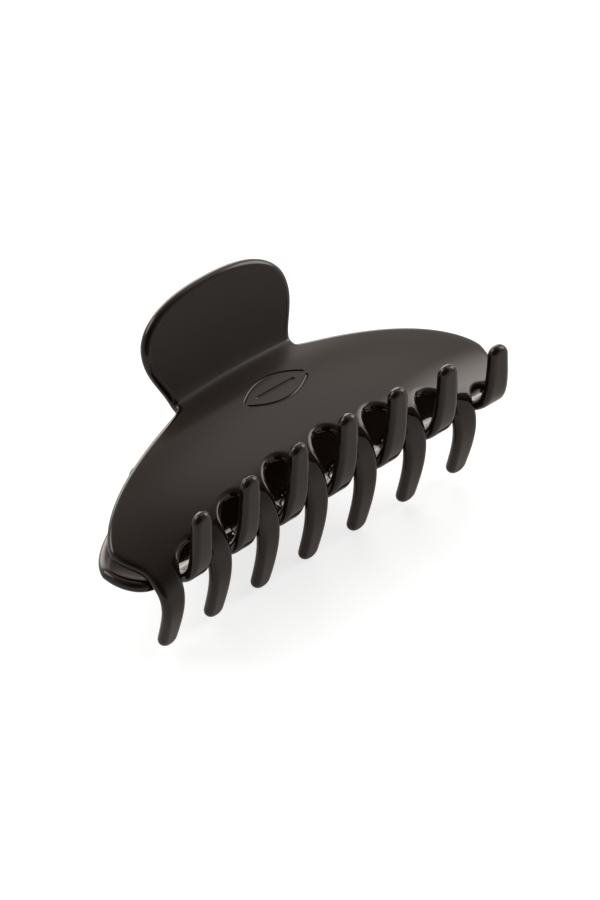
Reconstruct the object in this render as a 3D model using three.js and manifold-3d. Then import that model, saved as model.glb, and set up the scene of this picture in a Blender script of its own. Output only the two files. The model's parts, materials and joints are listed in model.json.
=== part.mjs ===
// Claw clip: two identical moulded jaws, a hinge pin and a torsion spring.
// Millimetres, +Z up. The closed clip lies on its side on z = 0. The hinge runs
// along X, the teeth point to -Y and the two finger paddles to +Y.
//
// Each jaw is drawn in its own frame: x runs along the hinge, "reach" runs from
// the hinge axis to the teeth, and "height" from the plane between the jaws.

import * as THREE from 'three';
import { mergeVertices } from 'three/addons/utils/BufferGeometryUtils.js';
import Module from 'manifold-3d';

const wasm = await Module();
wasm.setup();

// ---------- driving dimensions ----------

const WALL = 2.5; // thickness of the moulded sheet, and twice its edge radius
const RIM = WALL / 2;

const TOOTH_COUNT = 7;
const TOOTH_PITCH = 13; // between teeth of one jaw; the other jaw's fall between
const TOOTH_GAP = 0.2; // between neighbouring teeth of the two jaws, at their roots
const TOOTH_ROOT_WIDTH = TOOTH_PITCH / 2 - TOOTH_GAP;
const TOOTH_TIP_WIDTH = 4.5;

const PADDLE_WIDTH = 37.8;
const PADDLE_LENGTH = 23.5; // up the slope from the crease
const PADDLE_SLOPE = THREE.MathUtils.degToRad(63);
const PADDLE_WIDEST = 12.7; // distance of the widest line from the crease
const PADDLE_SQUARENESS = 2.32; // exponent of the paddle's rounded head
const NECK_WIDTH = 31.2;
const CREASE_HEIGHT = 5; // mid-sheet height where paddle and plate meet
const CREASE_REACH = 2.2;
const CREASE_SOFTNESS = 3; // larger makes the crease rounder

const PLATE_RISE = 6.95; // highest clear height under the body plate
const PLATE_CREST = PLATE_RISE + RIM;
const PLATE_CREST_REACH = 16.6;
const PLATE_CROWN_RADIUS = 54; // curve of the plate from hinge to teeth
const PLATE_END_DROP = 4.55; // how much lower the plate lies at the end tooth

const GULLET_REACH = 25.6; // top of the rounded gaps between the teeth
const GULLET_END_GAIN = 6.4; // how much further out it lies at the end tooth
const SHOULDER_END = 18.9; // station where the body is longest
const SHOULDER_START = 5.3; // station where the neck opens into the shoulders
const SHOULDER_SWEEP = 1.5; // exponent of the shoulder's curve
const NECK_SOFTNESS = 2; // larger makes the neck's corners rounder
const LOBE_REACH = 7.9; // body end beyond the other jaw's end tooth
const CORNER_REACH = 5.7; // body end beyond this jaw's own end tooth

const TIP_REACH = 34.3; // middle teeth
const TIP_DEPTH = 19; // how far the middle teeth pass the mid-plane
const TIP_END_GAIN = 2.1; // extra reach of the end teeth
const TIP_END_RISE = 2.5; // how much shorter the end teeth are
const ROOT_SWEEP = 10.6; // length of the curve's handle at the tooth root
const CLAW_SWEEP = 14.5; // length of the curve's handle at the tooth tip
const CLAW_LEAN = THREE.MathUtils.degToRad(8); // tips lean back to the hinge

const PIN_DIAMETER = 2;
const PIN_HEAD_DIAMETER = 3.2;
const PIN_HEAD_LENGTH = 0.8;
const FIT = 0.3; // clearance of every moving fit

const EAR_WIDTH = 2.6; // along the hinge
const EAR_RADIUS = 2.6;
const EAR_FRONT = 7; // the ear's foot runs from here, on the plate,
const EAR_BACK = 2.6; // to here, under the paddle's root

const WIRE = 1.1;
const COIL_TURNS = 5;
const COIL_PITCH = 1.4;
const LEG_LENGTH = 15;

// The inner ears stand beside the coil, and the outer ears beside the inner ones.
const INNER_EAR = (COIL_PITCH * COIL_TURNS + WIRE + EAR_WIDTH) / 2 + 2 * FIT;
const OUTER_EAR = INNER_EAR + EAR_WIDTH + 2 * FIT;

// ---------- mesh fineness ----------

const COLUMNS_PER_TOOTH = 2;
const PADDLE_ROWS = 9;
const SHOULDER_ROWS = 14;
const LOBE_ROWS = 5;
const ARCH_ROWS = 3;
const TOOTH_ROWS = 5;
const TIP_ROWS = 2;
const RIM_STEPS = 3;
const EAR_ROWS = 6;
const ROUND_STEPS = 20; // sides of the pin and of the ears' round ends
const WIRE_STEPS = 90; // along the whole wire
const TIP_FLAT = 0.3; // share of its width that a tooth keeps at its very end

// ---------- materials ----------

const acetate = { color: 0x2a2522, roughness: 0.16, metalness: 0 };
const pinSteel = { color: 0xb9bcc0, roughness: 0.3, metalness: 1 };
const springSteel = { color: 0x8f9296, roughness: 0.35, metalness: 1 };

// ---------- the jaw's surface: the middle of its sheet ----------

const END_TOOTH_X = TOOTH_PITCH * (TOOTH_COUNT / 2 - 0.25);
const toothX = (i) => -END_TOOTH_X + i * TOOTH_PITCH;

// 0 at mid-length, 1 at the end tooth: how far each section has moved on.
const towardsEnd = (x) => (x / END_TOOTH_X) ** 2;

function plateHeight(x, reach) {
  const crown = (reach - PLATE_CREST_REACH) ** 2 / (2 * PLATE_CROWN_RADIUS);
  return PLATE_CREST - crown - PLATE_END_DROP * towardsEnd(x);
}

// Plate and paddle are two slopes, blended where they meet into a soft crease.
function sheetHeight(x, reach) {
  const plate = plateHeight(x, reach);
  const paddle = CREASE_HEIGHT + (CREASE_REACH - reach) * Math.tan(PADDLE_SLOPE);
  const apart = paddle - plate;
  return (plate + paddle + Math.hypot(apart, CREASE_SOFTNESS)) / 2;
}

// Stations run down the jaw from the paddle's head to the tops of the gullets,
// which lie further out towards the ends.
const LAST_STATION = GULLET_REACH - RIM;
const reachAt = (x, station) => {
  const share = Math.max(station - CREASE_REACH, 0) / (LAST_STATION - CREASE_REACH);
  return station + GULLET_END_GAIN * towardsEnd(x) * share ** 2;
};

function sheetPoint(x, station) {
  const reach = reachAt(x, station);
  return new THREE.Vector3(x, -reach, sheetHeight(x, reach));
}

// A tooth leaves the plate along its slope and curls down to its tip.
function toothCurve(x) {
  const end = towardsEnd(x);
  const root = sheetPoint(x, LAST_STATION);
  const tip = new THREE.Vector3(
    x,
    -(TIP_REACH - RIM + TIP_END_GAIN * end),
    -(TIP_DEPTH - RIM - TIP_END_RISE * end),
  );
  const before = sheetPoint(x, LAST_STATION - 0.01);
  const along = root.clone().sub(before).normalize();
  const shrink = tip.distanceTo(root) / toothSpan;
  const rootHandle = root.clone().addScaledVector(along, ROOT_SWEEP * shrink);
  const back = new THREE.Vector3(0, -Math.sin(CLAW_LEAN), Math.cos(CLAW_LEAN));
  const tipHandle = tip.clone().addScaledVector(back, CLAW_SWEEP * shrink);
  return new THREE.CubicBezierCurve3(root, rootHandle, tipHandle, tip);
}
const toothSpan = Math.hypot(
  TIP_REACH - GULLET_REACH,
  TIP_DEPTH - RIM + plateHeight(0, LAST_STATION),
);

// ---------- the jaw's outline, one edge radius inside its finished edge ----------

const PADDLE_HEAD = PADDLE_LENGTH - RIM;
const PADDLE_TOP_STATION = CREASE_REACH - PADDLE_HEAD * Math.cos(PADDLE_SLOPE);
const LOBE_X = END_TOOTH_X + LOBE_REACH - RIM;
const CORNER_X = -(END_TOOTH_X + CORNER_REACH - RIM);
const ROOT_HALF = TOOTH_ROOT_WIDTH / 2 - RIM;
const TIP_HALF = TOOTH_TIP_WIDTH / 2 - RIM;
const NECK_HALF = NECK_WIDTH / 2 - RIM;
const ARCH_RADIUS = TOOTH_PITCH / 2 - ROOT_HALF;

const paddleHalf = (station) => {
  const up = (CREASE_REACH - station) / Math.cos(PADDLE_SLOPE);
  const widest = PADDLE_WIDTH / 2 - RIM;
  if (up < PADDLE_WIDEST) {
    const swell = Math.sin((Math.PI / 2) * Math.max(up, 0) / PADDLE_WIDEST);
    return NECK_HALF + (widest - NECK_HALF) * swell ** 2;
  }
  const rise = Math.min((up - PADDLE_WIDEST) / (PADDLE_HEAD - PADDLE_WIDEST), 1);
  return widest * (1 - rise ** PADDLE_SQUARENESS) ** (1 / PADDLE_SQUARENESS);
};

// From the neck the shoulder sweeps out to the body's end, past a soft corner.
const shoulder = (station, endX) => {
  const left = (SHOULDER_END - station) / (SHOULDER_END - SHOULDER_START);
  const sweep = (Math.abs(endX) - NECK_HALF) * (1 - left ** SHOULDER_SWEEP);
  return (sweep + Math.hypot(sweep, NECK_SOFTNESS)) / 2;
};

// One end rounds into a free lobe, the other runs on into the end tooth.
function bodyEdge(station, endX, rootX, lobe) {
  if (station <= SHOULDER_END) return paddleHalf(station) + shoulder(station, endX);
  const down = (station - SHOULDER_END) / (LAST_STATION - SHOULDER_END);
  const pull = lobe ? Math.sqrt(1 - down ** 2) : Math.cos((Math.PI / 2) * down) ** 2;
  return Math.abs(rootX) + (Math.abs(endX) - Math.abs(rootX)) * pull;
}
const LEFT_ROOT = toothX(0) - ROOT_HALF;
const RIGHT_ROOT = toothX(TOOTH_COUNT - 1) + TOOTH_PITCH / 2;
const leftEdge = (station) => -bodyEdge(station, CORNER_X, LEFT_ROOT, false);
const rightEdge = (station) => bodyEdge(station, LOBE_X, RIGHT_ROOT, true);

// ---------- meshing ----------

const lerp = THREE.MathUtils.lerp;

// Rows from one station to another, closer together towards the second.
function rowsBetween(from, to, count) {
  const rows = [];
  for (let k = 1; k <= count; k += 1) {
    rows.push(lerp(from, to, Math.sin((Math.PI / 2) * (k / count))));
  }
  return rows;
}

const stations = () => [
  ...rowsBetween(CREASE_REACH, PADDLE_TOP_STATION, PADDLE_ROWS).reverse(),
  CREASE_REACH,
  ...rowsBetween(CREASE_REACH, SHOULDER_END, SHOULDER_ROWS),
  ...rowsBetween(SHOULDER_END, LAST_STATION, LOBE_ROWS),
];

// Half width of a tooth at a distance down from the gullet's top.
function toothHalf(down, length, arched) {
  const taper = lerp(ROOT_HALF, TIP_HALF, Math.min(down / length, 1));
  const round = Math.max((down - (length - TIP_HALF)) / TIP_HALF, 0);
  const rounded = taper * Math.sqrt(1 - (1 - TIP_FLAT ** 2) * round ** 2);
  if (!arched || down >= ARCH_RADIUS) return rounded;
  return TOOTH_PITCH / 2 - Math.sqrt(ARCH_RADIUS ** 2 - (ARCH_RADIUS - down) ** 2);
}

function jawSheet() {
  const points = [];
  const quads = [];
  const columns = TOOTH_COUNT * COLUMNS_PER_TOOTH;
  const crownX = (j) => {
    const i = Math.min(Math.floor(j / COLUMNS_PER_TOOTH), TOOTH_COUNT - 1);
    const from = i === 0 ? LEFT_ROOT : toothX(i) - TOOTH_PITCH / 2;
    return lerp(from, toothX(i) + TOOTH_PITCH / 2, j / COLUMNS_PER_TOOTH - i);
  };
  const rows = stations();
  rows.forEach((station, k) => {
    for (let j = 0; j <= columns; j += 1) {
      const across = (crownX(j) - LEFT_ROOT) / (RIGHT_ROOT - LEFT_ROOT);
      const x = lerp(leftEdge(station), rightEdge(station), across);
      points.push(sheetPoint(x, station));
      if (k && j) {
        const here = points.length - 1;
        const above = here - columns - 1;
        quads.push([above - 1, here - 1, here, above]);
      }
    }
  });
  const crownRow = points.length - columns - 1;

  for (let i = 0; i < TOOTH_COUNT; i += 1) {
    const length = toothCurve(toothX(i)).getLength();
    const tipStart = length - TIP_HALF;
    const downs = rowsBetween(ARCH_RADIUS, 0, ARCH_ROWS).reverse().slice(1);
    for (let k = 0; k < TOOTH_ROWS; k += 1) {
      downs.push(lerp(ARCH_RADIUS, tipStart, k / TOOTH_ROWS));
    }
    downs.push(tipStart, ...rowsBetween(tipStart, length, TIP_ROWS));
    let above = crownRow + i * COLUMNS_PER_TOOTH;
    for (const down of downs) {
      const first = points.length;
      const right = toothX(i) + toothHalf(down, length, true);
      const left = toothX(i) - toothHalf(down, length, i > 0);
      for (let j = 0; j <= COLUMNS_PER_TOOTH; j += 1) {
        const x = lerp(left, right, j / COLUMNS_PER_TOOTH);
        points.push(toothCurve(x).getPointAt(down / length));
        if (j) quads.push([above + j - 1, first + j - 1, first + j, above + j]);
      }
      above = first;
    }
  }
  return { points, quads };
}

// Gives a sheet its wall: a face each side and a half-round rim round the edge.
function thicken({ points, quads }) {
  const normals = points.map(() => new THREE.Vector3());
  const edges = new Map();
  for (const quad of quads) {
    const [a, b, c, d] = quad.map((index) => points[index]);
    const normal = c.clone().sub(a).cross(d.clone().sub(b)).normalize();
    quad.forEach((index, k) => {
      normals[index].add(normal);
      const next = quad[(k + 1) % 4];
      if (!edges.delete(`${next},${index}`)) edges.set(`${index},${next}`, [index, next]);
    });
  }
  normals.forEach((normal) => normal.normalize());

  const outward = new Map();
  for (const [from, to] of edges.values()) {
    const along = points[to].clone().sub(points[from]).normalize();
    for (const index of [from, to]) {
      const out = along.clone().cross(normals[index]);
      outward.set(index, (outward.get(index) ?? new THREE.Vector3()).add(out));
    }
  }

  const positions = [];
  const triangles = [];
  const add = (point) => positions.push(point.x, point.y, point.z) / 3 - 1;
  const outer = points.map((p, i) => add(p.clone().addScaledVector(normals[i], RIM)));
  const inner = points.map((p, i) => add(p.clone().addScaledVector(normals[i], -RIM)));
  for (const [a, b, c, d] of quads) {
    triangles.push(outer[a], outer[b], outer[c], outer[a], outer[c], outer[d]);
    triangles.push(inner[a], inner[c], inner[b], inner[a], inner[d], inner[c]);
  }

  const rings = new Map();
  for (const [index, out] of outward) {
    const ring = [outer[index]];
    out.normalize();
    for (let k = 1; k < RIM_STEPS; k += 1) {
      const angle = Math.PI * (k / RIM_STEPS);
      const side = out.clone().multiplyScalar(Math.sin(angle));
      side.addScaledVector(normals[index], Math.cos(angle));
      ring.push(add(points[index].clone().addScaledVector(side, RIM)));
    }
    ring.push(inner[index]);
    rings.set(index, ring);
  }
  for (const [from, to] of edges.values()) {
    const [near, far] = [rings.get(from), rings.get(to)];
    for (let k = 0; k < RIM_STEPS; k += 1) {
      triangles.push(near[k], near[k + 1], far[k + 1], near[k], far[k + 1], far[k]);
    }
  }
  const geometry = new THREE.BufferGeometry();
  geometry.setAttribute('position', new THREE.Float32BufferAttribute(positions, 3));
  geometry.setIndex(triangles);
  return geometry;
}

// ---------- solids ----------

function toSolid(geometry) {
  const bare = geometry.clone();
  bare.deleteAttribute('normal');
  bare.deleteAttribute('uv');
  const merged = mergeVertices(bare, 1e-4);
  return new wasm.Manifold(new wasm.Mesh({
    numProp: 3,
    vertProperties: merged.attributes.position.array,
    triVerts: merged.index.array,
  }));
}

function toGeometry(solid) {
  const mesh = solid.getMesh();
  const geometry = new THREE.BufferGeometry();
  geometry.setAttribute('position', new THREE.BufferAttribute(mesh.vertProperties, 3));
  geometry.setIndex(new THREE.BufferAttribute(mesh.triVerts, 1));
  geometry.computeVertexNormals();
  return geometry;
}

// A shape drawn in the Y-Z plane, extruded along the hinge.
function alongHinge(shape, centreX, width) {
  const geometry = new THREE.ExtrudeGeometry(shape, {
    depth: width,
    bevelEnabled: false,
    curveSegments: ROUND_STEPS,
  });
  const [ex, ey, ez] = [[0, 1, 0], [0, 0, 1], [1, 0, 0]].map((v) => new THREE.Vector3(...v));
  geometry.applyMatrix4(new THREE.Matrix4().makeBasis(ex, ey, ez));
  return geometry.translate(centreX - width / 2, 0, 0);
}

// Ears hang from the inside of the sheet and carry the pin.
function ear(x) {
  const shape = new THREE.Shape();
  shape.absarc(0, 0, EAR_RADIUS, Math.PI, 2 * Math.PI);
  for (let k = 0; k <= EAR_ROWS; k += 1) {
    const reach = lerp(-EAR_BACK, EAR_FRONT, k / EAR_ROWS);
    shape.lineTo(-reach, sheetHeight(x, reach));
  }
  const hole = new THREE.Path();
  hole.absarc(0, 0, PIN_DIAMETER / 2 + FIT, 0, 2 * Math.PI);
  shape.holes.push(hole);
  return alongHinge(shape, x, EAR_WIDTH);
}

function jawGeometry() {
  let solid = toSolid(thicken(jawSheet()));
  for (const x of [-OUTER_EAR, INNER_EAR]) {
    solid = solid.add(toSolid(ear(x)));
  }
  return toGeometry(solid);
}

function pinGeometry() {
  const half = OUTER_EAR + EAR_WIDTH / 2 + FIT;
  const profile = [
    [0, -half - PIN_HEAD_LENGTH],
    [PIN_HEAD_DIAMETER / 2, -half - PIN_HEAD_LENGTH],
    [PIN_HEAD_DIAMETER / 2, -half],
    [PIN_DIAMETER / 2, -half],
    [PIN_DIAMETER / 2, half],
    [PIN_HEAD_DIAMETER / 2, half],
    [PIN_HEAD_DIAMETER / 2, half + PIN_HEAD_LENGTH],
    [0, half + PIN_HEAD_LENGTH],
  ].map(([radius, along]) => new THREE.Vector2(radius, along));
  return new THREE.LatheGeometry(profile, ROUND_STEPS).rotateZ(-Math.PI / 2);
}

// The wire runs down the inside of one paddle, winds round the pin and runs up
// the inside of the other. Its legs touch the coil's circle where they leave it.
class SpringPath extends THREE.Curve {
  constructor() {
    super();
    const acrossPaddle = CREASE_REACH * Math.sin(PADDLE_SLOPE);
    const toPaddle = acrossPaddle + CREASE_HEIGHT * Math.cos(PADDLE_SLOPE);
    this.radius = toPaddle - RIM - FIT - WIRE / 2;
    this.leave = Math.PI / 2 - PADDLE_SLOPE;
    this.turn = 2 * Math.PI * COIL_TURNS + 2 * this.leave;
    this.half = (COIL_PITCH * this.turn) / (4 * Math.PI);
    this.coilLength = this.turn * this.radius;
    this.length = this.coilLength + 2 * LEG_LENGTH;
  }

  getPoint(t, target = new THREE.Vector3()) {
    const along = t * this.length - LEG_LENGTH;
    const inCoil = THREE.MathUtils.clamp(along, 0, this.coilLength);
    const beyond = along - inCoil;
    const share = inCoil / this.coilLength;
    const angle = this.leave - share * this.turn;
    const reach = this.radius * Math.cos(angle) + beyond * Math.sin(angle);
    const height = this.radius * Math.sin(angle) - beyond * Math.cos(angle);
    return target.set(lerp(-this.half, this.half, share), -reach, height);
  }
}

function springGeometry() {
  const wire = new THREE.Shape();
  wire.absarc(0, 0, WIRE / 2, 0, 2 * Math.PI);
  return new THREE.ExtrudeGeometry(wire, {
    extrudePath: new SpringPath(),
    steps: WIRE_STEPS,
    curveSegments: 4,
    bevelEnabled: false,
  });
}

// ---------- assembly ----------

function piece(name, geometry, finish) {
  const mesh = new THREE.Mesh(geometry, new THREE.MeshStandardMaterial(finish));
  mesh.name = name;
  return mesh;
}

const frontJaw = piece('front_jaw', jawGeometry(), acetate);
const rearJaw = piece('rear_jaw', jawGeometry(), acetate);
rearJaw.rotation.y = Math.PI;

const hinge = new THREE.Group();
hinge.add(frontJaw, rearJaw);
hinge.add(piece('hinge_pin', pinGeometry(), pinSteel));
hinge.add(piece('torsion_spring', springGeometry(), springSteel));

// The clip leans on its lower paddle's head and on its middle teeth.
const middleX = toothX((TOOTH_COUNT - 1) / 2);
const tip = toothCurve(middleX).getPoint(1);
const head = sheetPoint(0, PADDLE_TOP_STATION);
hinge.rotation.x = Math.atan2(head.z + tip.z, head.y - tip.y);
hinge.updateMatrixWorld(true);
const lowest = new THREE.Box3().setFromObject(hinge, true);
hinge.position.set(
  -(lowest.min.x + lowest.max.x) / 2,
  -(lowest.min.y + lowest.max.y) / 2,
  -lowest.min.z,
);

const clip = new THREE.Group();
clip.add(hinge);

export default clip;
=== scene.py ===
import json
import math

import bmesh
import bpy
import numpy as np
from mathutils import Matrix, Vector


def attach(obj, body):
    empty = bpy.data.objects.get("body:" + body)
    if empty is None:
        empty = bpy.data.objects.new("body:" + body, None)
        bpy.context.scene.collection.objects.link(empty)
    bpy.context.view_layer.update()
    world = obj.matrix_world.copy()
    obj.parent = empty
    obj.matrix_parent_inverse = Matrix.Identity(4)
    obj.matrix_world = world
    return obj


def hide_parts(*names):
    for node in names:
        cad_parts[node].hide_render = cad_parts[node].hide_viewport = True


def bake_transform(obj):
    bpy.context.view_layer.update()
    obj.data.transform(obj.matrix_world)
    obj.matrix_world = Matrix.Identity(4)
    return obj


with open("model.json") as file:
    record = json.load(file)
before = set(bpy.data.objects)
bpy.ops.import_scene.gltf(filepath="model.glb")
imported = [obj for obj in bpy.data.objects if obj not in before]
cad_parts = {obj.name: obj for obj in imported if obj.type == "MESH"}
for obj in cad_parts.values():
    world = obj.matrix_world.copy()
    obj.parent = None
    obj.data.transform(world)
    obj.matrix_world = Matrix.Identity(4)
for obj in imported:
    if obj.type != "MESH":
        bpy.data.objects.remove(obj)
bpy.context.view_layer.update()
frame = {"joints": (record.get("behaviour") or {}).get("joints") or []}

# ---------- jaws: the moulded sheet ----------
# The two jaws are one and the same moulding in polished near-black acetate: a
# bowed body plate, seven curled teeth and a finger pad behind a soft crease.
# It is 2.5 mm sheet all over, and every edge is polished to a half round.

# Sizes are in millimetres. A reach is a distance from the hinge towards the teeth,
# and a rise, height or depth is measured from the plane between the two jaws.
MM = 0.001
WALL = 2.5
RIM = WALL / 2

TOOTH_COUNT = 7
TOOTH_PITCH = 13
TOOTH_GAP = 0.2  # between neighbouring teeth of the two jaws, at their roots
TOOTH_ROOT_WIDTH = TOOTH_PITCH / 2 - TOOTH_GAP
TOOTH_TIP_WIDTH = 4.5
TIP_FLAT = 0.3  # share of its width that a tooth keeps at its very end

PAD_WIDTH = 37.8
PAD_LENGTH = 23.5
PAD_SLOPE = math.radians(63)
PAD_WIDEST = 12.7  # distance of the pad's widest line from the crease
PAD_SQUARENESS = 2.32
NECK_WIDTH = 31.2
NECK_SOFTNESS = 2
CREASE_HEIGHT = 5
CREASE_REACH = 2.2
CREASE_SOFTNESS = 3

PLATE_RISE = 6.95  # highest clear height under the body plate
PLATE_CREST = PLATE_RISE + RIM
PLATE_CREST_REACH = 16.6
PLATE_CROWN_RADIUS = 54
PLATE_END_DROP = 4.55
GULLET_REACH = 25.6
GULLET_END_GAIN = 6.4
SHOULDER_START = 5.3
SHOULDER_END = 18.9
SHOULDER_SWEEP = 1.5
LOBE_REACH = 7.9
CORNER_REACH = 5.7

TIP_REACH = 34.3
TIP_DEPTH = 19
TIP_END_GAIN = 2.1
TIP_END_RISE = 2.5
ROOT_SWEEP = 10.6
CLAW_SWEEP = 14.5
CLAW_LEAN = math.radians(8)

# The row stands a quarter pitch to one side, so that the turned jaw's teeth fall
# half way between these.
ROW_OFFSET = 0.25
END_TOOTH_X = TOOTH_PITCH * (TOOTH_COUNT / 2 - ROW_OFFSET)
LAST_STATION = GULLET_REACH - RIM
PAD_HEAD = PAD_LENGTH - RIM
LOBE_X = END_TOOTH_X + LOBE_REACH - RIM
CORNER_X = END_TOOTH_X + CORNER_REACH - RIM
ROOT_HALF = TOOTH_ROOT_WIDTH / 2 - RIM
TIP_HALF = TOOTH_TIP_WIDTH / 2 - RIM
NECK_HALF = NECK_WIDTH / 2 - RIM
PAD_HALF = PAD_WIDTH / 2 - RIM
ARCH_RADIUS = TOOTH_PITCH / 2 - ROOT_HALF


def tooth_x(i):
    """Where a tooth stands along the hinge, counted from the corner end."""
    return -END_TOOTH_X + i * TOOTH_PITCH


LEFT_ROOT = tooth_x(0) - ROOT_HALF
RIGHT_ROOT = tooth_x(TOOTH_COUNT - 1) + TOOTH_PITCH / 2


def plate_height(x, reach):
    """Height of the body plate, which is crowned across and falls towards both ends."""
    crown = (reach - PLATE_CREST_REACH) ** 2 / (2 * PLATE_CROWN_RADIUS)
    return PLATE_CREST - crown - PLATE_END_DROP * (x / END_TOOTH_X) ** 2


def sheet_point(x, station):
    """The middle of the sheet: x along the hinge, y away from the teeth, z out.

    A station is a distance down the jaw from the hinge, towards the teeth.
    """
    x, station = np.broadcast_arrays(np.asarray(x, float), np.asarray(station, float))
    share = np.maximum(station - CREASE_REACH, 0) / (LAST_STATION - CREASE_REACH)
    reach = station + GULLET_END_GAIN * (x / END_TOOTH_X) ** 2 * share**2
    plate = plate_height(x, reach)
    pad = CREASE_HEIGHT + (CREASE_REACH - reach) * math.tan(PAD_SLOPE)
    height = (plate + pad + np.hypot(pad - plate, CREASE_SOFTNESS)) / 2
    return np.stack([x, -reach, height], axis=-1)


SMALL_STEP = 0.01
TOOTH_LINE_POINTS = 120


def tooth_line(x):
    """A tooth's middle line from its root to its tip, for each of the given places along the hinge."""
    end = (x / END_TOOTH_X) ** 2
    root = sheet_point(x, np.full_like(x, LAST_STATION))
    before = sheet_point(x, np.full_like(x, LAST_STATION - SMALL_STEP))
    along = (root - before) / np.linalg.norm(root - before, axis=-1, keepdims=True)
    tip_reach = TIP_REACH - RIM + TIP_END_GAIN * end
    tip_depth = TIP_DEPTH - RIM - TIP_END_RISE * end
    tip = np.stack([x, -tip_reach, -tip_depth], axis=-1)
    span = math.hypot(TIP_REACH - GULLET_REACH, TIP_DEPTH - RIM + plate_height(0, LAST_STATION))
    shrink = np.linalg.norm(tip - root, axis=-1, keepdims=True) / span
    back = np.array([0, -math.sin(CLAW_LEAN), math.cos(CLAW_LEAN)])
    handles = [root, root + along * ROOT_SWEEP * shrink, tip + back * CLAW_SWEEP * shrink, tip]
    t = np.linspace(0, 1, TOOTH_LINE_POINTS)[:, None, None]
    weights = [(1 - t) ** 3, 3 * t * (1 - t) ** 2, 3 * t**2 * (1 - t), t**3]
    return sum(w * h for w, h in zip(weights, handles))


def down_tooth(x, share):
    """Points that share of the way down the teeth that stand at x."""
    line = tooth_line(x)
    steps = np.linalg.norm(np.diff(line, axis=0), axis=-1)
    run = np.vstack([np.zeros(len(x)), np.cumsum(steps, axis=0)])
    points = np.empty((len(x), 3))
    for k in range(len(x)):
        for axis in range(3):
            points[k, axis] = np.interp(share * run[-1, k], run[:, k], line[:, k, axis])
    return points


def crowd(start, stop, count):
    """Rows from start to stop, start left out, closer together towards stop."""
    return [start + (stop - start) * math.sin(math.pi / 2 * k / count) for k in range(1, count + 1)]


def shoulder(station, end_x):
    """How far the body stands out past the neck at a station, sweeping out to its end."""
    left = (SHOULDER_END - station) / (SHOULDER_END - SHOULDER_START)
    sweep = (end_x - NECK_HALF) * (1 - left**SHOULDER_SWEEP)
    return (sweep + math.hypot(sweep, NECK_SOFTNESS)) / 2


def body_edge(station, end_x, root_x, lobe):
    """Half length of the body at a station: one end is a free lobe, the other the end tooth's corner."""
    if station <= SHOULDER_END:
        return NECK_HALF + shoulder(station, end_x)
    down = (station - SHOULDER_END) / (LAST_STATION - SHOULDER_END)
    pull = math.sqrt(1 - down**2) if lobe else math.cos(math.pi / 2 * down) ** 2
    return root_x + (end_x - root_x) * pull


def station_up(up):
    """The station of a line that lies a distance up the pad from the crease."""
    return CREASE_REACH - up * math.cos(PAD_SLOPE)


PAD_HEAD_ROWS = 16
PAD_FOOT_ROWS = 18
SHOULDER_ROWS = 42
GULLET_ROWS = 14


def sheet_rows(across):
    """The sheet's rows from the pad's head to the gullets, as pairs of x and station."""
    side = 2 * across - 1
    rows = []
    for v in reversed(crowd(0, 1, PAD_HEAD_ROWS)):
        x = PAD_HALF * side * (1 - v**PAD_SQUARENESS / 2) ** (1 / PAD_SQUARENESS)
        swell = (1 - np.abs(side) ** PAD_SQUARENESS / 2) ** (1 / PAD_SQUARENESS)
        rows.append((x, station_up(PAD_WIDEST + (PAD_HEAD - PAD_WIDEST) * v * swell)))
    for k in range(PAD_FOOT_ROWS, 0, -1):
        swell = math.sin(math.pi / 2 * k / PAD_FOOT_ROWS) ** 2
        station = station_up(PAD_WIDEST * k / PAD_FOOT_ROWS)
        half = NECK_HALF + (PAD_HALF - NECK_HALF) * swell + shoulder(station, LOBE_X)
        rows.append((half * side, np.full_like(side, station)))
    shoulders = crowd(CREASE_REACH, SHOULDER_END, SHOULDER_ROWS)
    gullets = crowd(SHOULDER_END, LAST_STATION, GULLET_ROWS)
    for station in [CREASE_REACH, *shoulders, *gullets]:
        left = -body_edge(station, CORNER_X, -LEFT_ROOT, False)
        right = body_edge(station, LOBE_X, RIGHT_ROOT, True)
        rows.append((left + (right - left) * across, np.full_like(side, station)))
    return rows


def tooth_half(down, length, arched):
    """Half width of a tooth a distance down from the gullet's top."""
    taper = ROOT_HALF + (TIP_HALF - ROOT_HALF) * min(down / length, 1)
    end = max((down - (length - TIP_HALF)) / TIP_HALF, 0)
    if not arched or down >= ARCH_RADIUS:
        return taper * math.sqrt(1 - (1 - TIP_FLAT**2) * min(end, 1) ** 2)
    return TOOTH_PITCH / 2 - math.sqrt(ARCH_RADIUS**2 - (ARCH_RADIUS - down) ** 2)


COLUMNS_PER_TOOTH = 10
ARCH_ROWS = 9
CLAW_ROWS = 25
TIP_ROWS = 7


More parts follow.
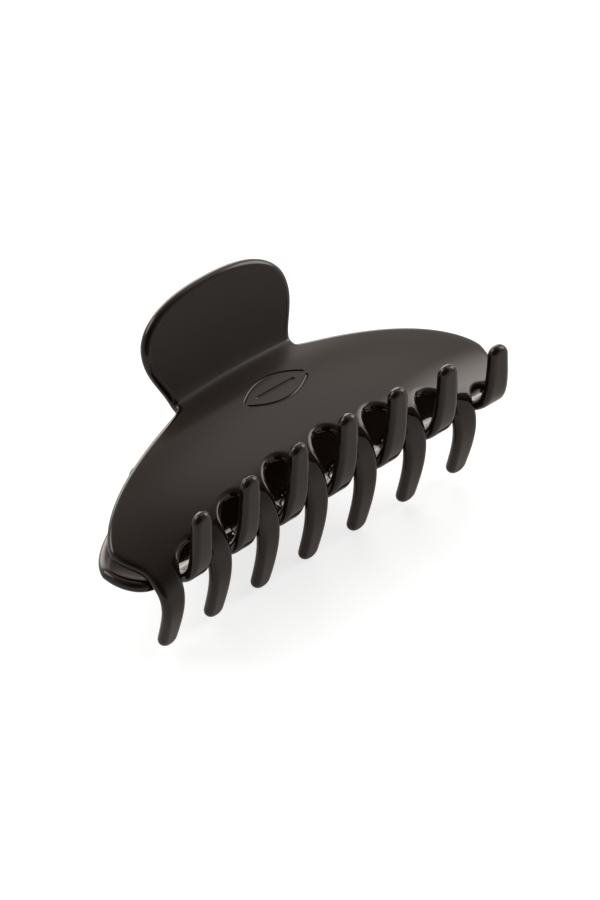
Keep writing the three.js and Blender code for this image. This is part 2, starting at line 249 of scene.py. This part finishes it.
def middle_sheet():
    """The middle of the jaw's sheet, without its wall: points, and quads that face out."""
    crown = []
    for i in range(TOOTH_COUNT):
        start = LEFT_ROOT if i == 0 else tooth_x(i) - TOOTH_PITCH / 2
        stop = tooth_x(i) + TOOTH_PITCH / 2
        crown += [start + (stop - start) * j / COLUMNS_PER_TOOTH for j in range(COLUMNS_PER_TOOTH)]
    crown = np.array([*crown, RIGHT_ROOT])
    points, quads = [], []
    columns = len(crown)
    rows = sheet_rows((crown - LEFT_ROOT) / (RIGHT_ROOT - LEFT_ROOT))
    for x, station in rows:
        points.extend(sheet_point(x, station))
    for k in range(1, len(rows)):
        for j in range(1, columns):
            here = k * columns + j
            quads.append((here - columns - 1, here - 1, here, here - columns))
    crown_row = len(points) - columns
    for i in range(TOOTH_COUNT):
        middle = tooth_line(np.array([float(tooth_x(i))]))
        length = np.linalg.norm(np.diff(middle[:, 0], axis=0), axis=-1).sum()
        tip_start = length - TIP_HALF
        arch = crowd(ARCH_RADIUS, 0, ARCH_ROWS)[-2::-1]
        claw = np.linspace(ARCH_RADIUS, tip_start, CLAW_ROWS + 1)
        downs = [*arch, *claw, *crowd(tip_start, length, TIP_ROWS)]
        above = crown_row + i * COLUMNS_PER_TOOTH
        for down in downs:
            left = tooth_x(i) - tooth_half(down, length, i > 0)
            right = tooth_x(i) + tooth_half(down, length, True)
            first = len(points)
            points.extend(down_tooth(np.linspace(left, right, COLUMNS_PER_TOOTH + 1), down / length))
            for j in range(1, COLUMNS_PER_TOOTH + 1):
                quads.append((above + j - 1, first + j - 1, first + j, above + j))
            above = first
    return np.array(points), np.array(quads)


NO_LENGTH = 1e-12


def unit(vectors):
    """The same directions, with a length of one."""
    return vectors / np.maximum(np.linalg.norm(vectors, axis=-1, keepdims=True), NO_LENGTH)


RIM_STEPS = 10


def with_wall(points, quads):
    """Gives the middle sheet its wall: a face each side and a half-round rim along every edge.

    The last of the three results is 1 at a point of the rim and 0 elsewhere.
    """
    a, b, c, d = (points[quads[:, k]] for k in range(4))
    facing = unit(np.cross(c - a, d - b))
    normals = np.zeros_like(points)
    for k in range(4):
        np.add.at(normals, quads[:, k], facing)
    normals = unit(normals)

    edges = {}
    for quad in quads.tolist():
        for start, stop in zip(quad, quad[1:] + quad[:1]):
            if edges.pop((stop, start), None) is None:
                edges[(start, stop)] = True
    edge = np.array(list(edges))
    along = unit(points[edge[:, 1]] - points[edge[:, 0]])
    outward = np.zeros_like(points)
    for k in range(2):
        np.add.at(outward, edge[:, k], np.cross(along, normals[edge[:, k]]))
    rim_points = np.unique(edge)
    outward = unit(outward)

    count = len(points)
    vertices = [points + normals * RIM, points - normals * RIM]
    faces = [tuple(q) for q in quads.tolist()]
    faces += [tuple(q[::-1] + count) for q in quads]
    ring = {}
    ring[0] = {int(p): int(p) for p in rim_points}
    ring[RIM_STEPS] = {int(p): int(p) + count for p in rim_points}
    for k in range(1, RIM_STEPS):
        turn = math.pi * k / RIM_STEPS
        side = outward[rim_points] * math.sin(turn) + normals[rim_points] * math.cos(turn)
        first = sum(len(v) for v in vertices)
        ring[k] = {int(p): first + n for n, p in enumerate(rim_points)}
        vertices.append(points[rim_points] + side * RIM)
    for start, stop in edge.tolist():
        for k in range(RIM_STEPS):
            faces.append((ring[k][start], ring[k + 1][start], ring[k + 1][stop], ring[k][stop]))
    on_rim = np.ones(sum(len(v) for v in vertices))
    inner = np.setdiff1d(np.arange(count), rim_points)
    on_rim[inner] = on_rim[inner + count] = 0
    return np.vstack(vertices), faces, on_rim


def new_piece(name, vertices, faces):
    """A new object in the scene, made of the given points and faces."""
    mesh = bpy.data.meshes.new(name)
    mesh.from_pydata([tuple(v) for v in vertices], [], faces)
    mesh.update()
    piece = bpy.data.objects.new(name, mesh)
    bpy.context.scene.collection.objects.link(piece)
    return piece


# ---------- jaws: the hinge ears ----------
# Each jaw has two ears moulded on its inside, one nearer the middle than the
# other, so that the two jaws' ears pass side by side. The pin runs through them.

PIN_DIAMETER = 2
FIT = 0.3
EAR_WIDTH = 2.6
EAR_RADIUS = 2.6
EAR_FRONT = 7
EAR_BACK = 2.6
WIRE = 1.1
COIL_TURNS = 5
COIL_PITCH = 1.4
INNER_EAR = (COIL_PITCH * COIL_TURNS + WIRE + EAR_WIDTH) / 2 + 2 * FIT
OUTER_EAR = INNER_EAR + EAR_WIDTH + 2 * FIT
EAR_CHAMFER = 0.25
EAR_SEGMENTS = 72
EAR_FOOT_POINTS = 25
NEAR_ZERO = 1e-9


def reach_to_side(ray, start, stop):
    """How far along a ray from the pin's axis a side of the ear is met, or 0 where it isn't."""
    side = stop - start
    slant = ray[1] * side[0] - ray[0] * side[1]
    if abs(slant) < NEAR_ZERO:
        return 0
    reach = (start[1] * side[0] - start[0] * side[1]) / slant
    share = (ray[0] * start[1] - ray[1] * start[0]) / slant
    return reach if -NEAR_ZERO <= share <= 1 + NEAR_ZERO else 0


def ear_outline(x, grow):
    """The ear's edge round the pin, an arc that runs out to the middle of the sheet, moved out by grow."""
    foot = [sheet_point(x, reach)[1:] for reach in np.linspace(-EAR_BACK, EAR_FRONT, EAR_FOOT_POINTS)]
    sides = [np.array([EAR_BACK, 0]), *foot, np.array([-EAR_BACK, 0])]
    angles = np.linspace(0, 2 * math.pi, EAR_SEGMENTS, endpoint=False)
    for corner in (foot[0], foot[-1]):
        turn = math.atan2(corner[1], corner[0])
        angles[np.argmin(np.abs(angles - turn))] = turn
    outline = []
    for angle in angles:
        ray = np.array([math.cos(angle), math.sin(angle)])
        reaches = [reach_to_side(ray, start, stop) for start, stop in zip(sides, sides[1:])]
        outline.append(ray * (max(EAR_RADIUS, *reaches) + grow))
    return np.array(outline)


def ear(name, x):
    """A plate round the pin with its hole, chamfered along every edge."""
    half = EAR_WIDTH / 2
    flank = half - EAR_CHAMFER
    edge = ear_outline(x, 0)
    edge_face = ear_outline(x, -EAR_CHAMFER)
    hole = unit(edge) * (PIN_DIAMETER / 2 + FIT)
    hole_face = unit(edge) * (PIN_DIAMETER / 2 + FIT + EAR_CHAMFER)
    loops = [
        (-half, edge_face),
        (-flank, edge),
        (flank, edge),
        (half, edge_face),
        (half, hole_face),
        (flank, hole),
        (-flank, hole),
        (-half, hole_face),
    ]
    vertices = [(x + dx, y, z) for dx, loop in loops for y, z in loop]
    faces = []
    for k in range(len(loops)):
        near, far = k * EAR_SEGMENTS, (k + 1) % len(loops) * EAR_SEGMENTS
        for n in range(EAR_SEGMENTS):
            m = (n + 1) % EAR_SEGMENTS
            faces.append((near + n, near + m, far + m, far + n))
    return new_piece(name, vertices, faces)


# ---------- jaws: the pressed ornament ----------
# A slender leaf, 17 mm long, is pressed into the middle of the body plate: two
# arcs and a rib, each a groove with a round bottom and closed ends.

LEAF_LENGTH = 17
LEAF_WIDTH = 7
LEAF_STATION = 12.5
LEAF_X = 3
GROOVE_WIDTH = 0.75
GROOVE_DEPTH = 0.32
GROOVE_SEGMENTS = 24
GROOVE_END = (0.35, 0.7, 1)  # how far each ring of a round end stands towards its pole
POLE_REACH = 0.98  # share of a quarter turn where the rings stop, and a small flat closes the end
FACE_STEP = 0.05
ARC_SPAN = 0.9  # share of the leaf's length that each of its arcs takes
ARC_POINTS = 41
RIB_SPAN = 0.55  # share of the leaf's length that its rib takes
RIB_POINTS = 21


def outer_face(x, station):
    """A point of the plate's outer face and the way the face looks there."""
    middle = sheet_point(x, station)
    up_the_plate = sheet_point(x, station - FACE_STEP) - middle
    along_the_plate = sheet_point(x + FACE_STEP, station) - middle
    normal = unit(np.cross(along_the_plate, up_the_plate))
    return middle + normal * RIM, normal


def groove(name, line):
    """The round-ended rod that presses one groove, along a line of x and station."""
    radius = (GROOVE_WIDTH**2 / 4 + GROOVE_DEPTH**2) / (2 * GROOVE_DEPTH)
    places = [outer_face(x, station) for x, station in line]
    centres = np.array([point + normal * (radius - GROOVE_DEPTH) for point, normal in places])
    normals = np.array([normal for point, normal in places])
    along = unit(np.gradient(centres, axis=0))
    sides = np.cross(along, normals)
    rings = [(0, -share) for share in reversed(GROOVE_END)]
    rings += [(k, 0) for k in range(len(line))]
    rings += [(-1, share) for share in GROOVE_END]
    vertices = []
    for k, share in rings:
        lean = share * math.pi / 2 * POLE_REACH
        centre = centres[k] + along[k] * radius * math.sin(lean)
        across = sides[k] * radius * math.cos(lean)
        out = normals[k] * radius * math.cos(lean)
        for n in range(GROOVE_SEGMENTS):
            turn = 2 * math.pi * n / GROOVE_SEGMENTS
            vertices.append(centre + across * math.cos(turn) + out * math.sin(turn))
    faces = []
    last_ring = len(vertices) - GROOVE_SEGMENTS
    for near in range(0, last_ring, GROOVE_SEGMENTS):
        far = near + GROOVE_SEGMENTS
        for n in range(GROOVE_SEGMENTS):
            m = (n + 1) % GROOVE_SEGMENTS
            faces.append((near + n, far + n, far + m, near + m))
    faces.append(tuple(range(GROOVE_SEGMENTS)))
    faces.append(tuple(range(len(vertices) - 1, last_ring - 1, -1)))
    return new_piece(name, vertices, faces)


def leaf_lines():
    """The leaf's two arcs and its rib, as lines of x and station."""
    lines = []
    for side in (-1, 1, 0):
        span = ARC_SPAN if side else RIB_SPAN
        shares = np.linspace(-span, span, ARC_POINTS if side else RIB_POINTS)
        stations = LEAF_STATION + side * LEAF_WIDTH / 2 * (1 - shares**2)
        lines.append(list(zip(LEAF_X + LEAF_LENGTH / 2 * shares, stations)))
    return lines


def use(piece, other, operation):
    """Joins other to piece, or cuts it out, and does away with other."""
    change = piece.modifiers.new(operation, "BOOLEAN")
    change.operation = operation
    change.solver = "EXACT"
    change.object = other
    done = bpy.data.meshes.new_from_object(piece.evaluated_get(bpy.context.evaluated_depsgraph_get()))
    piece.modifiers.clear()
    piece.data = done
    bpy.data.objects.remove(other)


def jaw(name):
    """One whole jaw in its own frame, in millimetres."""
    vertices, faces, on_rim = with_wall(*middle_sheet())
    piece = new_piece(name, vertices, faces)
    piece.data.attributes.new("rim", "FLOAT", "POINT").data.foreach_set("value", on_rim)
    for x in (-OUTER_EAR, INNER_EAR):
        use(piece, ear("ear", x), "UNION")
    for line in leaf_lines():
        use(piece, groove("rod", line), "DIFFERENCE")
    return piece


# ---------- jaws: in place ----------
# The closed clip leans on the lower pad's head and on the middle teeth. The
# rear jaw is the front jaw turned half round, end to end.

SHARP_ANGLE = math.radians(40)

hinge_at = Vector(frame["joints"][0]["pos_m"])
middle_tip = tooth_line(np.array([tooth_x((TOOTH_COUNT - 1) / 2)]))[-1, 0]
pad_head = sheet_point(0, station_up(PAD_HEAD))
tilt = math.atan2(pad_head[2] + middle_tip[2], pad_head[1] - middle_tip[1])
in_place = Matrix.Translation(hinge_at) @ Matrix.Rotation(tilt, 4, "X") @ Matrix.Scale(MM, 4)
turned = Matrix.Rotation(math.pi, 4, "Y")


def acetate():
    """Polished dark acetate: near black with a brown cast, faint flow marks and a fine haze of wear."""
    material = bpy.data.materials.new("polished_acetate")
    material.use_nodes = True
    nodes, links = material.node_tree.nodes, material.node_tree.links
    shader = nodes["Principled BSDF"]
    shader.inputs["IOR"].default_value = 1.47
    place = nodes.new("ShaderNodeTexCoord")

    drawn = nodes.new("ShaderNodeMapping")
    drawn.inputs["Scale"].default_value = (60, 900, 900)
    links.new(place.outputs["Object"], drawn.inputs["Vector"])
    streaks = nodes.new("ShaderNodeTexNoise")
    streaks.inputs["Scale"].default_value = 1.0
    streaks.inputs["Detail"].default_value = 4
    links.new(drawn.outputs["Vector"], streaks.inputs["Vector"])
    polish = nodes.new("ShaderNodeMapRange")
    polish.inputs["To Min"].default_value = 0.05
    polish.inputs["To Max"].default_value = 0.09
    links.new(streaks.outputs["Fac"], polish.inputs["Value"])

    # Fingers dull the pads and the crease, which lie beyond the middle of the clip,
    # but not the rims round them.
    apart = nodes.new("ShaderNodeSeparateXYZ")
    links.new(place.outputs["Object"], apart.inputs[0])
    handled = nodes.new("ShaderNodeMapRange")
    handled.interpolation_type = "SMOOTHSTEP"
    handled.inputs["From Min"].default_value = -0.003
    handled.inputs["From Max"].default_value = 0.007
    handled.inputs["To Max"].default_value = 0.28
    links.new(apart.outputs["Y"], handled.inputs["Value"])
    rim = nodes.new("ShaderNodeAttribute")
    rim.attribute_name = "rim"
    flat = nodes.new("ShaderNodeMath")
    flat.operation = "SUBTRACT"
    flat.inputs[0].default_value = 1
    links.new(rim.outputs["Fac"], flat.inputs[1])
    haze = nodes.new("ShaderNodeMath")
    haze.operation = "MULTIPLY_ADD"
    links.new(handled.outputs["Result"], haze.inputs[0])
    links.new(flat.outputs["Value"], haze.inputs[1])
    links.new(polish.outputs["Result"], haze.inputs[2])
    links.new(haze.outputs["Value"], shader.inputs["Roughness"])

    flow = nodes.new("ShaderNodeTexNoise")
    flow.inputs["Scale"].default_value = 70
    flow.inputs["Detail"].default_value = 2
    links.new(place.outputs["Object"], flow.inputs["Vector"])
    tint = nodes.new("ShaderNodeMix")
    tint.data_type = "RGBA"
    tint.inputs["A"].default_value = (0.0078, 0.0040, 0.0025, 1)
    tint.inputs["B"].default_value = (0.0112, 0.0062, 0.0040, 1)
    links.new(flow.outputs["Fac"], tint.inputs["Factor"])
    links.new(tint.outputs["Result"], shader.inputs["Base Color"])

    ripple = nodes.new("ShaderNodeBump")
    ripple.inputs["Strength"].default_value = 0.25
    ripple.inputs["Distance"].default_value = 0.00006
    links.new(flow.outputs["Fac"], ripple.inputs["Height"])
    grain = nodes.new("ShaderNodeBump")
    grain.inputs["Strength"].default_value = 0.05
    grain.inputs["Distance"].default_value = 0.000004
    links.new(streaks.outputs["Fac"], grain.inputs["Height"])
    links.new(ripple.outputs["Normal"], grain.inputs["Normal"])
    links.new(grain.outputs["Normal"], shader.inputs["Normal"])
    return material


jaw_finish = acetate()
front = jaw("front_jaw_moulding")
rear = front.copy()
rear.data = front.data.copy()
rear.name = rear.data.name = "rear_jaw_moulding"
bpy.context.scene.collection.objects.link(rear)
both_jaws = (
    (front, in_place, "front_jaw", "front"),
    (rear, in_place @ turned, "rear_jaw", "rear"),
)
for piece, place, node, body in both_jaws:
    piece.data.transform(place)
    piece.data.materials.clear()
    piece.data.materials.append(jaw_finish)
    piece.data.shade_smooth()
    piece.data.set_sharp_from_angle(angle=SHARP_ANGLE)
    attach(piece, body)
    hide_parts(node)

# ---------- hinge pin ----------
# A drawn steel rod through all four ears of the two jaws. A domed head peened on
# each end holds it in.

PIN_HEAD_DIAMETER = 3.2
PIN_HEAD_LENGTH = 0.8
PIN_SEGMENTS = 48
DOME_STEPS = 8
MERGE_DISTANCE = 1e-4


def pin():
    """The rod and its heads, turned about the hinge from one profile."""
    half = OUTER_EAR + EAR_WIDTH / 2 + FIT
    side = []
    for k in range(DOME_STEPS + 1):
        lean = math.pi / 2 * k / DOME_STEPS
        side.append((PIN_HEAD_DIAMETER / 2 * math.sin(lean), half + PIN_HEAD_LENGTH * math.cos(lean)))
    side += [(PIN_HEAD_DIAMETER / 2, half), (PIN_DIAMETER / 2, half)]
    profile = side + [(r, -x) for r, x in reversed(side)]
    shape = bmesh.new()
    line = [shape.verts.new((x, r, 0)) for r, x in profile]
    edges = [shape.edges.new(pair) for pair in zip(line, line[1:])]
    bmesh.ops.spin(
        shape, geom=line + edges, axis=(1, 0, 0), cent=(0, 0, 0), angle=2 * math.pi, steps=PIN_SEGMENTS
    )
    bmesh.ops.remove_doubles(shape, verts=shape.verts, dist=MERGE_DISTANCE)
    bmesh.ops.recalc_face_normals(shape, faces=shape.faces)
    mesh = bpy.data.meshes.new("steel_pin")
    shape.to_mesh(mesh)
    shape.free()
    piece = bpy.data.objects.new("steel_pin", mesh)
    bpy.context.scene.collection.objects.link(piece)
    return piece


DARK_LINE = 0.8


def steel(name, colour, smoothest, roughest, grain):
    """Drawn steel with fine lines, which are darker and smoother than the metal between them."""
    material = bpy.data.materials.new(name)
    material.use_nodes = True
    nodes, links = material.node_tree.nodes, material.node_tree.links
    shader = nodes["Principled BSDF"]
    shader.inputs["Metallic"].default_value = 1.0
    place = nodes.new("ShaderNodeTexCoord")
    lines = nodes.new("ShaderNodeMapping")
    lines.inputs["Scale"].default_value = grain
    links.new(place.outputs["Object"], lines.inputs["Vector"])
    noise = nodes.new("ShaderNodeTexNoise")
    noise.inputs["Scale"].default_value = 1.0
    noise.inputs["Detail"].default_value = 5
    links.new(lines.outputs["Vector"], noise.inputs["Vector"])
    tint = nodes.new("ShaderNodeMix")
    tint.data_type = "RGBA"
    tint.inputs["A"].default_value = (*[c * DARK_LINE for c in colour], 1)
    tint.inputs["B"].default_value = (*colour, 1)
    links.new(noise.outputs["Fac"], tint.inputs["Factor"])
    links.new(tint.outputs["Result"], shader.inputs["Base Color"])
    polish = nodes.new("ShaderNodeMapRange")
    polish.inputs["To Min"].default_value = smoothest
    polish.inputs["To Max"].default_value = roughest
    links.new(noise.outputs["Fac"], polish.inputs["Value"])
    links.new(polish.outputs["Result"], shader.inputs["Roughness"])
    return material


rod = pin()
rod.data.transform(in_place)
rod.data.materials.append(steel("drawn_pin_steel", (0.62, 0.62, 0.63), 0.2, 0.38, (300, 6000, 6000)))
rod.data.shade_smooth()
rod.data.set_sharp_from_angle(angle=SHARP_ANGLE)
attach(rod, "rear")
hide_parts("hinge_pin")

# ---------- torsion spring ----------
# Hard drawn wire wound five times round the pin. One leg runs up the inside of
# each finger pad and pushes it out, which closes the teeth.

LEG_LENGTH = 15
WIRE_STEPS = 900
WIRE_SIDES = 20


def wire_tree():
    """Winds a wire into a coil along X with a straight leg at each end, from the sizes it is given."""
    tree = bpy.data.node_groups.new("wound_wire", "GeometryNodeTree")
    for name in ("Wire diameter", "Coil radius", "Coil turn", "Coil pitch", "Leg length", "Leave angle"):
        tree.interface.new_socket(name, in_out="INPUT", socket_type="NodeSocketFloat")
    tree.interface.new_socket("Finish", in_out="INPUT", socket_type="NodeSocketMaterial")
    tree.interface.new_socket("Wire", in_out="OUTPUT", socket_type="NodeSocketGeometry")
    nodes, links = tree.nodes, tree.links
    sizes = nodes.new("NodeGroupInput").outputs

    def math_node(operation, *values):
        node = nodes.new("ShaderNodeMath")
        node.operation = operation
        for k, value in enumerate(values):
            if isinstance(value, bpy.types.NodeSocket):
                links.new(value, node.inputs[k])
            else:
                node.inputs[k].default_value = value
        return node.outputs[0]

    index = nodes.new("GeometryNodeInputIndex").outputs[0]
    coil = math_node("MULTIPLY", sizes["Coil turn"], sizes["Coil radius"])
    whole = math_node("ADD", coil, math_node("MULTIPLY", sizes["Leg length"], 2.0))
    run = math_node("MULTIPLY", math_node("DIVIDE", index, WIRE_STEPS - 1), whole)
    along = math_node("SUBTRACT", run, sizes["Leg length"])
    wound = math_node("MINIMUM", math_node("MAXIMUM", along, 0.0), coil)
    beyond = math_node("SUBTRACT", along, wound)
    share = math_node("DIVIDE", wound, coil)
    angle = math_node("SUBTRACT", sizes["Leave angle"], math_node("MULTIPLY", share, sizes["Coil turn"]))
    cosine, sine = math_node("COSINE", angle), math_node("SINE", angle)
    radius = sizes["Coil radius"]
    reach = math_node("MULTIPLY_ADD", beyond, sine, math_node("MULTIPLY", radius, cosine))
    fall = math_node("MULTIPLY", beyond, cosine)
    height = math_node("SUBTRACT", math_node("MULTIPLY", radius, sine), fall)
    turns = math_node("DIVIDE", sizes["Coil turn"], 2 * math.pi)
    length = math_node("MULTIPLY", sizes["Coil pitch"], turns)
    x = math_node("MULTIPLY", math_node("SUBTRACT", share, 0.5), length)
    place = nodes.new("ShaderNodeCombineXYZ")
    links.new(x, place.inputs[0])
    links.new(math_node("MULTIPLY", reach, -1.0), place.inputs[1])
    links.new(height, place.inputs[2])

    line = nodes.new("GeometryNodeMeshLine")
    line.inputs["Count"].default_value = WIRE_STEPS
    bend = nodes.new("GeometryNodeSetPosition")
    links.new(line.outputs["Mesh"], bend.inputs["Geometry"])
    links.new(place.outputs[0], bend.inputs["Position"])
    path = nodes.new("GeometryNodeMeshToCurve")
    links.new(bend.outputs["Geometry"], path.inputs["Mesh"])
    section = nodes.new("GeometryNodeCurvePrimitiveCircle")
    section.inputs["Resolution"].default_value = WIRE_SIDES
    links.new(math_node("MULTIPLY", sizes["Wire diameter"], 0.5), section.inputs["Radius"])
    drawn = nodes.new("GeometryNodeCurveToMesh")
    drawn.inputs["Fill Caps"].default_value = True
    links.new(path.outputs["Curve"], drawn.inputs["Curve"])
    links.new(section.outputs["Curve"], drawn.inputs["Profile Curve"])
    real = nodes.new("GeometryNodeRealizeInstances")
    links.new(drawn.outputs["Mesh"], real.inputs["Geometry"])
    coat = nodes.new("GeometryNodeSetMaterial")
    links.new(real.outputs["Geometry"], coat.inputs["Geometry"])
    links.new(sizes["Finish"], coat.inputs["Material"])
    links.new(coat.outputs["Geometry"], nodes.new("NodeGroupOutput").inputs["Wire"])
    return tree


def torsion_spring(finish):
    """The spring in the jaw's own frame, with its legs lying along the insides of the pads."""
    pad_distance = CREASE_REACH * math.sin(PAD_SLOPE) + CREASE_HEIGHT * math.cos(PAD_SLOPE)
    leave = math.pi / 2 - PAD_SLOPE
    values = {
        "Wire diameter": WIRE,
        "Coil radius": pad_distance - RIM - FIT - WIRE / 2,
        "Coil turn": 2 * math.pi * COIL_TURNS + 2 * leave,
        "Coil pitch": COIL_PITCH,
        "Leg length": LEG_LENGTH,
        "Leave angle": leave,
        "Finish": finish,
    }
    maker = new_piece("wire_maker", [], [])
    winding = maker.modifiers.new("winding", "NODES")
    winding.node_group = wire_tree()
    for item in winding.node_group.interface.items_tree:
        if item.name in values:
            winding[item.identifier] = values[item.name]
    mesh = bpy.data.meshes.new_from_object(maker.evaluated_get(bpy.context.evaluated_depsgraph_get()))
    bpy.data.objects.remove(maker)
    piece = bpy.data.objects.new("spring_wire", mesh)
    bpy.context.scene.collection.objects.link(piece)
    return piece


spring = torsion_spring(steel("drawn_spring_steel", (0.36, 0.37, 0.38), 0.22, 0.4, (4000, 4000, 4000)))
spring.data.transform(in_place)
spring.data.shade_smooth()
spring.data.set_sharp_from_angle(angle=SHARP_ANGLE)
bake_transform(spring)
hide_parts("torsion_spring")

# ---------- studio ----------
# The clip lies on a white opal table that is lit from below. A light tent round
# it is bright behind and above and dark by the camera, and one lamp stands behind.

# The camera looks at the focus from afar through a long lens, and aims a little
# aside and below, in metres.
AZIMUTH = math.radians(-38.66)
ELEVATION = math.radians(39.23)
DISTANCE = 0.9287
FOCUS = Vector((0, 0.01009, 0.02397))
ASIDE = 0.01387
BELOW = 0.01143
ROLL = math.radians(-2)
LENS = 274
SENSOR = 36
NEAREST = 0.01

towards_camera = Vector((math.sin(AZIMUTH), -math.cos(AZIMUTH), math.tan(ELEVATION))).normalized()
camera_right = Vector((math.cos(AZIMUTH), math.sin(AZIMUTH), 0))
camera_up = towards_camera.cross(camera_right)
camera = bpy.data.objects.new("camera", bpy.data.cameras.new("camera"))
bpy.context.scene.collection.objects.link(camera)
camera.location = FOCUS + towards_camera * DISTANCE
target = FOCUS + camera_right * ASIDE - camera_up * BELOW
looking = (target - camera.location).to_track_quat("-Z", "Y").to_matrix().to_4x4()
camera.matrix_world = Matrix.Translation(camera.location) @ looking @ Matrix.Rotation(ROLL, 4, "Z")
camera.data.sensor_fit = "HORIZONTAL"
camera.data.sensor_width = SENSOR
camera.data.lens = LENS
camera.data.clip_start = NEAREST
bpy.context.scene.camera = camera

TABLE_HALF = 4
TABLE_GLOW = (0.73, 0.73, 0.73, 1)
MIRRORED_GLOW = (0.21, 0.172, 0.152, 1)


def lit_opal():
    """Opal sheet lit from below, which is white to the camera and dimmer to what mirrors it."""
    material = bpy.data.materials.new("lit_opal_table")
    material.use_nodes = True
    nodes, links = material.node_tree.nodes, material.node_tree.links
    shader = nodes["Principled BSDF"]
    shader.inputs["Base Color"].default_value = (0.33, 0.35, 0.365, 1)
    shader.inputs["Roughness"].default_value = 0.7
    shader.inputs["Emission Strength"].default_value = 1
    ray = nodes.new("ShaderNodeLightPath")
    glow = nodes.new("ShaderNodeMix")
    glow.data_type = "RGBA"
    glow.inputs["A"].default_value = MIRRORED_GLOW
    glow.inputs["B"].default_value = TABLE_GLOW
    links.new(ray.outputs["Is Camera Ray"], glow.inputs["Factor"])
    links.new(glow.outputs["Result"], shader.inputs["Emission Color"])
    return material


corners = [(x * TABLE_HALF, y * TABLE_HALF, 0) for x, y in ((-1, -1), (1, -1), (1, 1), (-1, 1))]
table = new_piece("table", corners, [(0, 1, 2, 3)])
table.data.materials.append(lit_opal())

LAMP_PLACE = Vector((0.55, 0.7, 0.85))
LAMP_LENGTH = 1.1
LAMP_WIDTH = 0.9
LAMP_POWER = 8

lamp = bpy.data.lights.new("back_light", "AREA")
lamp.shape = "RECTANGLE"
lamp.size = LAMP_LENGTH
lamp.size_y = LAMP_WIDTH
lamp.energy = LAMP_POWER
softbox = bpy.data.objects.new("back_light", lamp)
bpy.context.scene.collection.objects.link(softbox)
aimed = (-LAMP_PLACE).to_track_quat("-Z", "Y").to_matrix().to_4x4()
softbox.matrix_world = Matrix.Translation(LAMP_PLACE) @ aimed
softbox.visible_glossy = False

# The tent's strength by the cosine of the angle from the camera's side: 1 is the
# camera itself and -1 the cloth straight behind the clip.
TENT_GLOW = (
    (-1, 1.3),
    (-0.5, 1.15),
    (-0.2, 0.98),
    (0.1, 0.72),
    (0.3, 0.68),
    (0.5, 0.5),
    (0.75, 0.2),
    (1, 0.03),
)
# Where the tent's own lamps shine on it: the way to each, the angles in degrees
# from there at which it ends and is full, and its strength.
TENT_LAMPS = (
    ((0.526, 0.141, 0.839), 25, 0, 0.65),
    ((0.837, -0.224, 0.5), 26, 10, 4.5),
    ((-0.47, 0.6, 0.64), 20, 8, 4),
    ((0.3, 0.92, 0.2), 35, 10, 3.8),
)


def light_tent():
    """The tent's cloth: a glow that fades towards the camera, with a soft round patch for each lamp."""
    tent = bpy.data.worlds.new("tent")
    tent.use_nodes = True
    nodes, links = tent.node_tree.nodes, tent.node_tree.links
    direction = nodes.new("ShaderNodeTexCoord")

    def cosine_from(way):
        cosine = nodes.new("ShaderNodeVectorMath")
        cosine.operation = "DOT_PRODUCT"
        cosine.inputs[1].default_value = Vector(way).normalized()
        links.new(direction.outputs["Generated"], cosine.inputs[0])
        return cosine.outputs["Value"]

    glow = nodes.new("ShaderNodeFloatCurve")
    glow.mapping.extend = "HORIZONTAL"
    glow.mapping.use_clip = False
    curve = glow.mapping.curves[0]
    curve.points[0].location, curve.points[1].location = TENT_GLOW[:2]
    for cosine, strength in TENT_GLOW[2:]:
        curve.points.new(cosine, strength)
    glow.mapping.update()
    links.new(cosine_from(towards_camera), glow.inputs["Value"])

    strength = glow.outputs["Value"]
    for way, end, full, power in TENT_LAMPS:
        patch = nodes.new("ShaderNodeMapRange")
        patch.interpolation_type = "SMOOTHSTEP"
        patch.inputs["From Min"].default_value = math.cos(math.radians(end))
        patch.inputs["From Max"].default_value = math.cos(math.radians(full))
        patch.inputs["To Max"].default_value = power
        links.new(cosine_from(way), patch.inputs["Value"])
        both = nodes.new("ShaderNodeMath")
        links.new(strength, both.inputs[0])
        links.new(patch.outputs["Result"], both.inputs[1])
        strength = both.outputs["Value"]
    links.new(strength, nodes["Background"].inputs["Strength"])
    nodes["Background"].inputs["Color"].default_value = (1, 0.925, 0.87, 1)
    return tent


bpy.context.scene.world = light_tent()
bpy.context.scene.view_settings.view_transform = "Standard"
bpy.context.scene.view_settings.look = "None"
